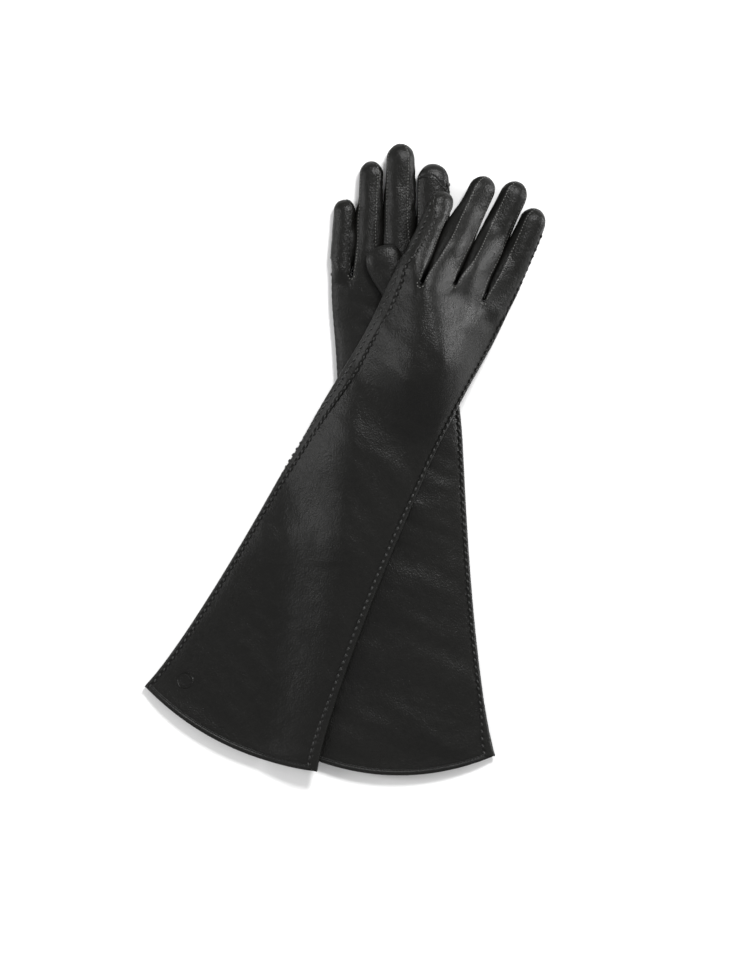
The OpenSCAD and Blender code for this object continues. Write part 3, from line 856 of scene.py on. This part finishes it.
def make_strip(g, i, side, root_normals):
    """The part of a panel that runs along a finger."""
    angles = strip_angles(i, side)
    rows = finger_rows(g, i)
    has_cap = i == INDEX and side == palm_side(g)
    s, phi = crossed(rows, angles)
    if has_cap:
        s = s * cap_seam(phi) / TIP_END
    width = FINGER_HALF[g][i] * abs(angles[-1] - angles[0])
    stand = strip_stand(i, STRIP[None, :], width) * smooth(s / 0.05)
    outer = finger_skin(g, i, s, phi, 0.0, stand)
    inner = finger_skin(g, i, s, phi, LEATHER, stand)
    outward = outward_normals(outer, inner)
    outward[0] = root_normals
    for k, t in ((1, 0.66), (2, 0.33)):
        outward[k] = unit(mix(outward[k], root_normals, t * 0.5))
    name, part = finger_name(g, i), side_name(g, side)
    piece = sheet_piece(f"{name}_{part}", LEATHER_SKIN, (outer, inner), normals=outward)
    keep_across(piece, g, i, f"{name}_tip_{part}")
    if has_cap:
        make_cap(g, angles)


def make_cap(g, angles):
    t, phi = crossed(np.linspace(0, 1, 26), angles)
    start = cap_seam(phi) - 0.016
    s = mix(start, TIP_END, np.sin(t * math.pi / 2))
    stand = 0.45 - 0.40 * np.exp(-((s - start) / 0.014 - 1.6) ** 2)
    outer = finger_skin(g, INDEX, s, phi, 0.0, stand)
    inner = finger_skin(g, INDEX, s, phi, CAP_LEATHER, stand)
    piece = sheet_piece(f"{GLOVES[g]}_touch_cap", TOUCH_SKIN, (outer, inner))
    keep_across(piece, g, INDEX, f"{GLOVES[g]}_touch_patch")


def fourchette_crease(g, i, facing, s, phi):
    """The right middle finger's fourchette is twisted, and creases along a slant."""
    if (g, i, facing) != (RIGHT, MIDDLE, 0):
        return 0.0
    length = finger_axis(g, i)[2]
    at = np.stack([s * length + 8 * phi, 9 * phi], -1)
    return (1.1 * noise_at(at, (7.5, 9), 77) + 0.3) * smooth((s - 0.3) / 0.25) * smooth((0.97 - s) / 0.1)


def gap_beside(g, i, facing, s):
    """How far a wall is from its neighbour's, from the crotch up (mm)."""
    reach, half = [], []
    for k in (i, i - 1 if facing else i + 1):
        start, way, length = finger_axis(g, k)
        root = finger_root(g, k)
        reach.append(start + way * (s * length)[..., None])
        half.append(mix(SLOT_SHARE * np.linalg.norm(root[1] - root[0]) / 2,
                        FINGER_HALF[g][k] * (1 - FINGER_TAPER * s), smooth(s / ROOT_SHARE)))
    return np.linalg.norm(reach[0] - reach[1], axis=-1) - half[0] - half[1]


def wall(g, i, facing, s, turns, depth):
    """One side of a finger. Neighbouring walls belly out until they meet, low in the slot."""
    s, turn = crossed(s, turns)
    phi = turn + (math.pi if facing else 0.0)
    middle = np.cos(turn / SEAM_ANGLE * math.pi / 2)
    belly = WALL_BELLY.get((g, i, facing), 0.0) * np.exp(-((s - 0.42) / 0.24) ** 2)
    meeting = np.clip(gap_beside(g, i, facing, s) / 2 + 0.30, 0, 3.4) * (1 - smooth((s - 0.3) / 0.4))
    belly = np.maximum(belly, meeting)
    stand = (fourchette_crease(g, i, facing, s, turn) + belly) * middle - 0.28
    return finger_skin(g, i, s, phi, depth, stand)


def make_fourchettes(g, i):
    """The walls of a finger, between its back and its palm."""
    turns = np.linspace(-1, 1, 13) * (SEAM_ANGLE + 0.05)
    rows = finger_rows(g, i, FOURCHETTE_START)
    sheets = [[wall(g, i, facing, rows, turns, depth) for depth in (0, FOURCHETTE_LEATHER)]
              for facing, ok in ((0, i != INDEX), (1, i != LITTLE)) if ok]
    name = finger_name(g, i)
    # On the left glove the fourchettes take the darker skin: painted shade between its fingers.
    piece = sheet_piece(name + "_fourchettes", SHADED_FOURCHETTE_SKIN if g == LEFT else LEATHER_SKIN, *sheets)
    keep_across(piece, g, i, name + "_tip_fourchettes")


def make_crotch(g, i):
    """The fourchette's turn between a finger and the next, down one side and up the other."""
    turns = np.linspace(-1, 1, 13) * (SEAM_ANGLE + 0.05)
    rows = np.linspace(0.0, FOURCHETTE_START, 10)

    def grid(depth):
        down = wall(g, i, 0, rows[::-1], turns, depth)
        up = wall(g, i + 1, 1, rows, -turns, depth)
        return np.concatenate([down, (down[-1:] + up[:1]) / 2, up])
    outer = grid(0)
    inner = grid(FOURCHETTE_LEATHER)
    # Between the fingers the leather turns round the end of the slot, over the hand's edge.
    middle = len(rows)
    way = np.array([math.sin(TURN[g]), math.cos(TURN[g]), 0]) * MM
    outer[middle] = (outer[middle - 1] + outer[middle + 1]) / 2 - way * (SLOT_REACH + 0.2)
    web = (SLOT_REACH + 1.4) * np.cos(turns / (SEAM_ANGLE + 0.05) * math.pi / 2) ** 2
    outer[middle] += way * web[:, None]
    inner[middle] = outer[middle] - way * FOURCHETTE_LEATHER
    # The crotches take the darker skin: painted shade at the ends of the slots.
    piece = sheet_piece(f"{GLOVES[g]}_crotch_{FINGERS[i]}_{FINGERS[i + 1]}", SHADED_FOURCHETTE_SKIN, (outer, inner))
    keep(piece, GLOVE_BODIES[g], f"{GLOVES[g]}_fourchette_{FINGERS[i + 1]}_{FINGERS[i]}")


def make_finger_stitches(g, i):
    """Machine stitches beside a finger's seams, on its back and on its palm."""
    solid = Solid()
    inset = 0.95 / FINGER_HALF[g][i]
    rows = finger_rows(g, i, 0.012, 0.9985)
    bold = BOLD_STITCHES.get((g, i), 1.0)
    size = [x * bold for x in FINGER_STITCH[:3]] + list(FINGER_STITCH[3:])
    for side in (UPPER, LOWER):
        for seam in [x for x, ok in ((SEAM_ANGLE + inset, i != INDEX),
                                     (math.pi - SEAM_ANGLE - inset, i != LITTLE)) if ok]:
            phi = np.array([seam - 0.1, seam, seam + 0.1]) * side
            s, phi = crossed(rows, phi)
            grid = finger_skin(g, i, s, phi, 0.0, 0.08)
            outwards = grid[:, 1] - finger_skin(g, i, s, phi, 1.0)[:, 1]
            normals = turned_to(grid_normals(grid)[:, 1], outwards)
            sew(solid, grid[:, 1], normals, MACHINE_STITCH_PITCH * bold, size)
    # Ordinary finger stitches take the pale thread: a painted highlight for their glints.
    piece = solid.make(finger_name(g, i) + "_stitches", FINE_THREAD_PAINTED_GLINT if bold == 1 else THREAD)
    keep_across(piece, g, i)


def make_slot_stitches(g, i):
    """Machine stitches round the end of the slot between a finger and the next."""
    solid = Solid()
    turn = np.linspace(-1.35, 1.35, 25)
    crotch = (i + 1) / 4
    width = (slots(g)[i + 2] - slots(g)[i]) / 0.5
    for side in (UPPER, LOWER):
        grid = []
        for radius in SLOT_REACH + np.array([0.75, 1.05, 1.35]):
            across = crotch + radius * np.sin(turn) / width
            u = base_at(across) - radius * np.cos(turn) * 1.15
            grid.append(place(g, hand_point(g, side, u, across, -0.25)))
        grid = np.stack(grid, 1)
        normals = turned_to(grid_normals(grid)[:, 1], np.array([0, 0, side]))
        sew(solid, grid[:, 1], normals, MACHINE_STITCH_PITCH, SLOT_STITCH)
    # The pale thread here is a painted highlight for the stitches' glints.
    piece = solid.make(f"{GLOVES[g]}_slot_stitches_{FINGERS[i]}_{FINGERS[i + 1]}", FINE_THREAD_PAINTED_GLINT)
    keep(piece, GLOVE_BODIES[g])


def make_finger_lining(g, i):
    t = np.linspace(0, 1, 25)
    s, phi = crossed(0.03 + 0.95 * t, np.linspace(0.03, 2 * math.pi - 0.03, 25))
    outer = place(g, finger_point(g, i, s, phi, LEATHER + GAP + 0.4))
    inner = place(g, finger_point(g, i, s, phi, LEATHER + GAP + 0.4 + LINING))
    name = finger_name(g, i)
    piece = sheet_piece(name + "_stall_lining", KNIT, (outer, inner))
    keep_across(piece, g, i, name + "_tip_lining")


def make_lining(g):
    sheets = [[hand_grid(g, side, 6, LEATHER + GAP + depth, False) for depth in (0, LINING)]
              for side in (UPPER, LOWER)]
    piece = sheet_piece(f"{GLOVES[g]}_hand_lining", KNIT, *sheets)
    keep(piece, GLOVE_BODIES[g], f"{GLOVES[g]}_lining")


def make_thumb(g):
    phi = np.linspace(0.0, 2 * math.pi, 49)[:-1] + 0.02
    s = np.concatenate([THUMB_ROOT_SHARE * (1 - np.cos(np.linspace(0.12, math.pi / 2, 10))),
                        np.linspace(THUMB_ROOT_SHARE, 1 - THUMB_TIP_SHARE, 40)[1:-1],
                        1 - THUMB_TIP_SHARE * (1 - np.sin(np.linspace(0, math.pi / 2 - 0.02, 14)))])
    s, phi = crossed(s, np.append(phi, phi[0] + 2 * math.pi - 0.0004))
    at = np.stack([s * THUMB_LENGTH, np.cos(phi) * 14 + 40 * g], -1)
    relief = (0.45 * noise_at(at, (19, 10), 61) + 0.12 * noise_at(at, (5, 8), 62)) * smooth((1 - s) / 0.1)
    # A quirk seam runs down the side that lies towards the little finger.
    seam = np.exp(-((np.abs(np.angle(np.exp(1j * (phi - 2.75)))) * 9) / 0.9) ** 2)
    for name, material, outside, inside, node in (
        ("thumb_leather", LEATHER_SKIN, -relief + 0.5 * seam, LEATHER, "thumb"),
        ("thumb_stall_lining", KNIT, LEATHER + GAP, LEATHER + GAP + LINING, "thumb_lining"),
    ):
        sheet = [place(g, thumb_point(g, s, phi, depth)) for depth in (outside, inside)]
        piece = sheet_piece(f"{GLOVES[g]}_{name}", material, sheet)
        keep(piece, GLOVE_BODIES[g], f"{GLOVES[g]}_{node}")


def make_stamp():
    """A plain round stamp on the left glove's cuff: a sunk disc, a raised ring and a raised middle."""
    r, turn = crossed(np.linspace(0.01, 1, 40), np.linspace(0, 2 * math.pi, 73))
    u = STAMP_AT[0] + STAMP_RADIUS * r * np.cos(turn)
    v = STAMP_AT[1] + STAMP_RADIUS * r * np.sin(turn)
    c = (v / half_width(u) + 1) / 2
    relief = (0.15 + 0.75 * np.exp(-((r - 0.90) / 0.06) ** 2) - 0.95 * smooth((0.84 - r) / 0.07)
              + 0.85 * np.exp(-((r - 0.58) / 0.08) ** 2) + 0.75 * smooth((0.32 - r) / 0.12))
    relief = mix(-0.25, relief, smooth((1 - r) / 0.06))
    skin = hand_point(LEFT, UPPER, u, c)
    relief = relief + hand_relief(LEFT, UPPER, skin, c)
    sheet = [place(LEFT, hand_point(LEFT, UPPER, u, c, depth - relief)) for depth in (0, STAMP_LEATHER)]
    keep(sheet_piece("left_cuff_stamp", LEATHER_SKIN, sheet), GLOVE_BODIES[LEFT])


# ---- Side seams: a rolled welt between two rows of bold hand stitches ----

SECTION_SAMPLES = 36
SEAM_ROW_PITCH = 0.88


def seam_sections(g, i):
    """Cross-sections of the glove's skin about a side seam, from the hem to the fingertip (m).

    Each runs from the lower side, round the edge, to the upper side. Also how far along each
    one lies (mm from the hem's corner), and how many of them belong to the hand.
    """
    u = np.arange(-1.0, HAND_LENGTH, SEAM_ROW_PITCH)
    c = np.linspace(0, 0.18, SECTION_SAMPLES) ** 1.6 / 0.18 ** 0.6
    hand = []
    for side in (LOWER, UPPER):
        grid_u, grid_c = crossed(u, c if i == LITTLE else 1 - c)
        hand.append(place(g, hand_point(g, side, grid_u, grid_c)))
    hand = np.concatenate([hand[0][:, :0:-1], hand[1]], 1)
    length = finger_axis(g, i)[2]
    s = np.arange(0.004, 0.90, SEAM_ROW_PITCH / length)
    turn = np.linspace(-1, 1, hand.shape[1]) * 1.6
    grid_s, grid_t = crossed(s, turn)
    phi = math.pi - grid_t if i == LITTLE else grid_t
    finger = place(g, finger_point(g, i, grid_s, phi))
    return np.concatenate([hand, finger]), np.concatenate([u, HAND_LENGTH + s * length]), len(u)


def seam_edges(g, i, run):
    """Where a seam's upper and lower stitch rows lie, as distances round the edge (mm)."""
    hand = smooth((run - 150) / 120)
    if g == LEFT and i == LITTLE:
        end = smooth((run - HAND_LENGTH - 35) / 25)
        return mix(mix(2.6, 12.0, hand), 9.4, end), mix(-2.4, 5.4, hand)
    if g == LEFT:
        return mix(4.4, 1.6, hand) + 3.0 * np.exp(-(run / 45) ** 2), mix(-3.2, -1.8, hand)
    if i == INDEX:
        return mix(2.4, 2.0, hand) + 5.5 * np.exp(-(run / 22) ** 2), mix(-2.4, -2.0, hand)
    return mix(-2.6, -3.0, hand), mix(-5.6, -6.0, hand)


def make_side_seam(g, i):
    sections, run, hand_count = seam_sections(g, i)
    middle = sections.shape[1] // 2
    steps = np.linalg.norm(np.diff(sections, axis=1), axis=-1)
    arc = np.concatenate([np.zeros((len(sections), 1)), np.cumsum(steps, 1)], 1)
    arc = (arc - arc[:, middle:middle + 1]) / MM
    above, below = seam_edges(g, i, run)
    fade = smooth((run[-1] - run) / 14)
    above, below = above * (0.35 + 0.65 * fade), below * (0.35 + 0.65 * fade)
    wave = 0.5 + 0.5 * np.cos(2 * math.pi * run / HAND_STITCH_PITCH)
    across = np.linspace(-1, 1, 15)
    at = mix(below[:, None] - 0.5, above[:, None] + 0.5, (across[None] + 1) / 2)
    skin = np.stack([[np.interp(at[k], arc[k], sections[k, :, x]) for x in range(3)]
                     for k in range(len(sections))]).transpose(0, 2, 1)
    normals = turned_to(grid_normals(skin), skin - sections.mean(1, keepdims=True))
    crown = (1 - np.abs(across) ** 6)[None] ** 0.8
    # The leather is drawn in between one stitch and the next.
    drawn = (1 - wave[:, None]) * np.exp(-((np.abs(across[None]) - 0.80) / 0.16) ** 2)
    rolled_under = (g, i) == (RIGHT, LITTLE)
    height = (0.5 if rolled_under else 1.0) * (1.05 - 1.3 * drawn) * crown * (0.3 + 0.7 * fade[:, None])
    outer = skin + normals * ((height - 0.02) * MM)[..., None]
    inner = skin - normals * (0.12 * MM)
    shading = turned_to(grid_normals(outer), outer - inner)
    name = finger_name(g, i)
    last = hand_count + 1
    for part, rows in (("welt", slice(0, last)), ("finger_welt", slice(last - 1, None))):
        piece = sheet_piece(f"{name}_{part}", LEATHER_SKIN, (outer[rows], inner[rows]),
                            normals=shading[rows])
        stitches = Solid()
        for edge in (1, -2):
            curve = skin[rows, edge] + normals[rows, edge] * (0.50 * MM)
            sew(stitches, curve, normals[rows, edge], HAND_STITCH_PITCH, HAND_STITCH,
                slant=0.35 if edge > 0 else -0.35,
                start=0.0 if part == "welt" else 0.003, stop=0.004 if part == "finger_welt" else 0.0)
        threads = stitches.make(f"{name}_{part}_stitches", THREAD)
        if part == "welt":
            keep(piece, GLOVE_BODIES[g])
            keep(threads, GLOVE_BODIES[g], f"{name}_side_seam")
        else:
            keep_across(piece, g, i)
            keep_across(threads, g, i)


# ---- Hem ----

# The binding's section: distance up the glove from the hem, and height off the leather (mm).
HEM_PROFILE = [(3.7, -0.05), (3.5, 0.42), (3.1, 0.66), (2.7, 0.48), (2.4, 0.30), (2.1, 0.50),
               (1.5, 0.72), (0.8, 0.74), (0.0, 0.66), (-0.75, 0.28), (-1.05, -0.35), (-0.95, -1.1),
               (-0.5, -1.7), (0.2, -2.05), (1.4, -2.15), (3.2, -2.1), (3.4, -1.7), (1.6, -1.6),
               (0.5, -1.5), (0.0, -0.9), (0.5, -0.3), (1.8, -0.2), (3.2, -0.25)]


def make_hem(g):
    share = 0.5 - 0.5 * np.cos(np.linspace(0, math.pi, 110))
    rounds = [(UPPER, share[:-1]), (LOWER, share[:0:-1])]
    rows, seams = [], Solid()
    for side, c in rounds:
        grid = []
        for reach, height in HEM_PROFILE:
            q = hand_point(g, side, hem_at(g, c) + reach, c, -height)
            q[:, 2] = np.maximum(q[:, 2], 0.02)
            grid.append(place(g, q))
        rows.append(np.stack(grid, 1))
        groove = place(g, hand_point(g, side, hem_at(g, c) + 2.4, c, -0.34))
        facing = np.repeat(np.array([[0, 0, 1.0 if side == UPPER else -1.0]]), len(c), 0)
        if side == UPPER or g == LEFT:
            sew(seams, groove, facing, MACHINE_STITCH_PITCH, HEM_STITCH, start=0.003, stop=0.003)
    solid = Solid()
    solid.ring(np.concatenate(rows))
    name = f"{GLOVES[g]}_hem"
    keep(solid.make(name + "_roll", BINDING_SKIN), GLOVE_BODIES[g], name + "_binding")
    keep(seams.make(name + "_stitches", THREAD), GLOVE_BODIES[g])


def make_glove(g):
    roots = {side: make_panel(g, side) for side in (UPPER, LOWER)}
    for i in range(4):
        for side in (UPPER, LOWER):
            make_strip(g, i, side, roots[side][finger_columns(i)])
        make_fourchettes(g, i)
        make_finger_stitches(g, i)
        make_finger_lining(g, i)
    for i in range(3):
        make_crotch(g, i)
        make_slot_stitches(g, i)
    for i in (LITTLE, INDEX):
        make_side_seam(g, i)
    make_thumb(g)
    make_lining(g)
    make_hem(g)


for glove in (LEFT, RIGHT):
    make_glove(glove)
make_stamp()


# ---- Floor and light ----

def floor():
    mesh = bpy.data.meshes.new("floor")
    half = 2.5
    mesh.from_pydata([(-half, -half, 0), (half, -half, 0), (half, half, 0), (-half, half, 0)], [],
                     [(0, 1, 2, 3)])
    piece = bpy.data.objects.new("floor", mesh)
    bpy.context.scene.collection.objects.link(piece)
    paper = Nodes("paper")
    paper.colours(paper.noise(60, 2), (0.2, (0.90, 0.90, 0.90)), (0.8, (0.93, 0.93, 0.93)))
    paper.shader.inputs["Roughness"].default_value = 0.9
    paper.shader.inputs["Specular IOR Level"].default_value = 0.1
    mesh.materials.append(paper.material)


def soft_light(name, where, aim, size, power):
    data = bpy.data.lights.new(name, "AREA")
    data.shape = "RECTANGLE"
    data.size, data.size_y = size
    data.energy = power
    lamp = bpy.data.objects.new(name, data)
    lamp.location = where
    lamp.rotation_euler = (Vector(aim) - Vector(where)).to_track_quat("-Z", "Y").to_euler()
    bpy.context.scene.collection.objects.link(lamp)


floor()
soft_light("key", (2.1, 0.45, 0.40), (0.05, 0.0, 0.0), (0.8, 0.25), 30)
soft_light("top", (0.6, 1.15, 1.65), (0.0, 0.0, 0.0), (0.4, 0.4), 34)
soft_light("fill", (-1.9, 0.3, 1.0), (0.0, 0.0, 0.0), (0.35, 1.4), 18)

world = bpy.data.worlds.new("studio")
bpy.context.scene.world = world
world.use_nodes = True
world.node_tree.nodes["Background"].inputs["Color"].default_value = (1, 1, 1, 1)
world.node_tree.nodes["Background"].inputs["Strength"].default_value = 0.66
bpy.context.scene.view_settings.view_transform = "Standard"
